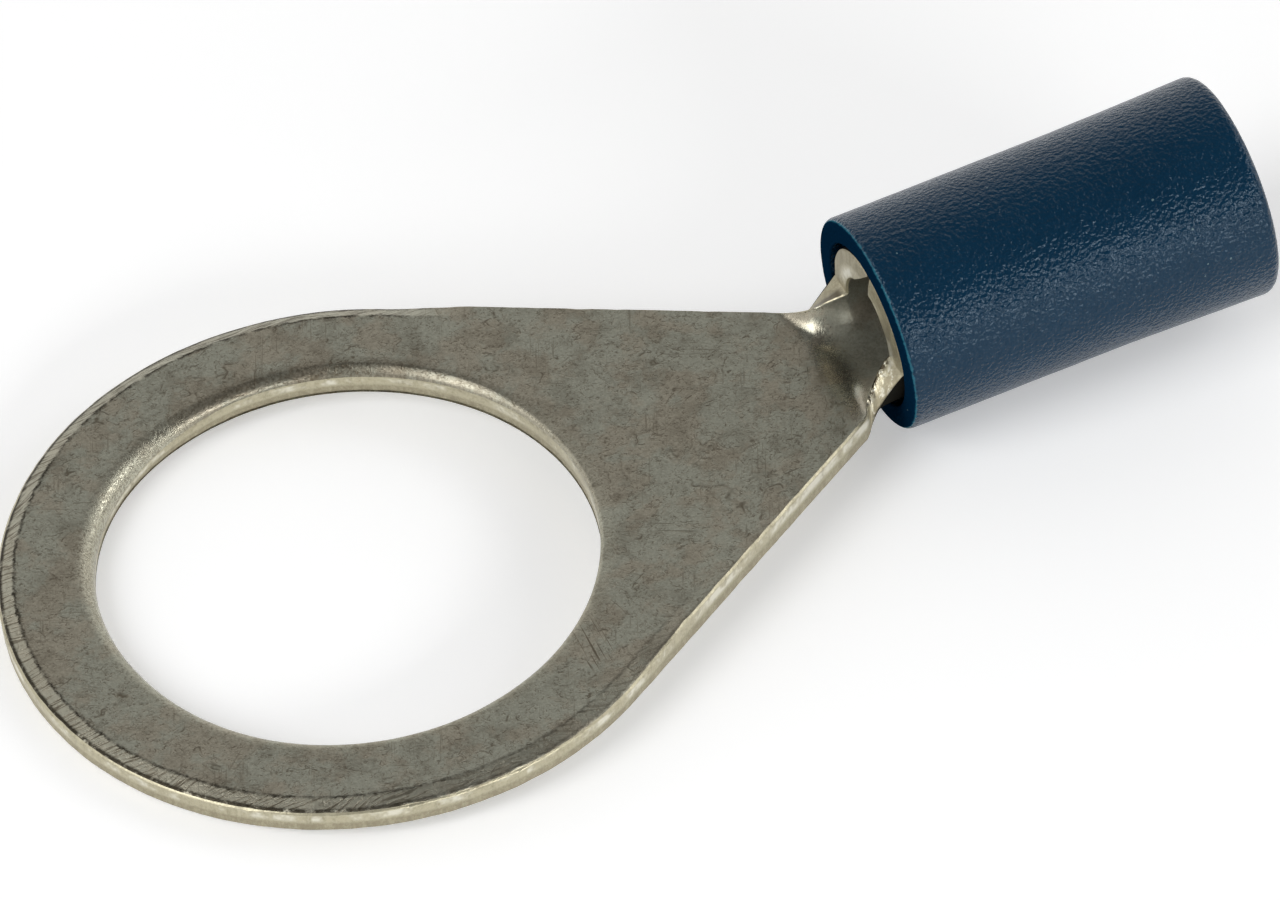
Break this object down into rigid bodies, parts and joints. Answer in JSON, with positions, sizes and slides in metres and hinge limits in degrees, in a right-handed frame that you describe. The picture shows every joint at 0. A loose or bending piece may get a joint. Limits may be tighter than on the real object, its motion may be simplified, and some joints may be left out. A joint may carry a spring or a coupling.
{
  "type": "ring terminal",
  "caption": "Insulated crimp ring terminal: stamped tinned ring tongue for an M12 stud, rolled wire barrel with a butt seam, and a dark blue plastic sleeve.",
  "frame": {"origin": "centre of the stud hole in the plane of the tongue's underside", "axes": "+X along the wire barrel towards the wire entry, +Z along the stud hole, up on the side of the barrel's seam"},
  "size_m": [0.034, 0.0178, 0.006],
  "materials": {
    "tinned_copper": "dull tin plating, stained and finely scratched",
    "blue_pvc": "satin moulded PVC with a fine grain"
  },
  "bodies": {
    "root": {"terminal_body": "tinned_copper", "insulating_sleeve": "blue_pvc"}
  },
  "joints": []
}
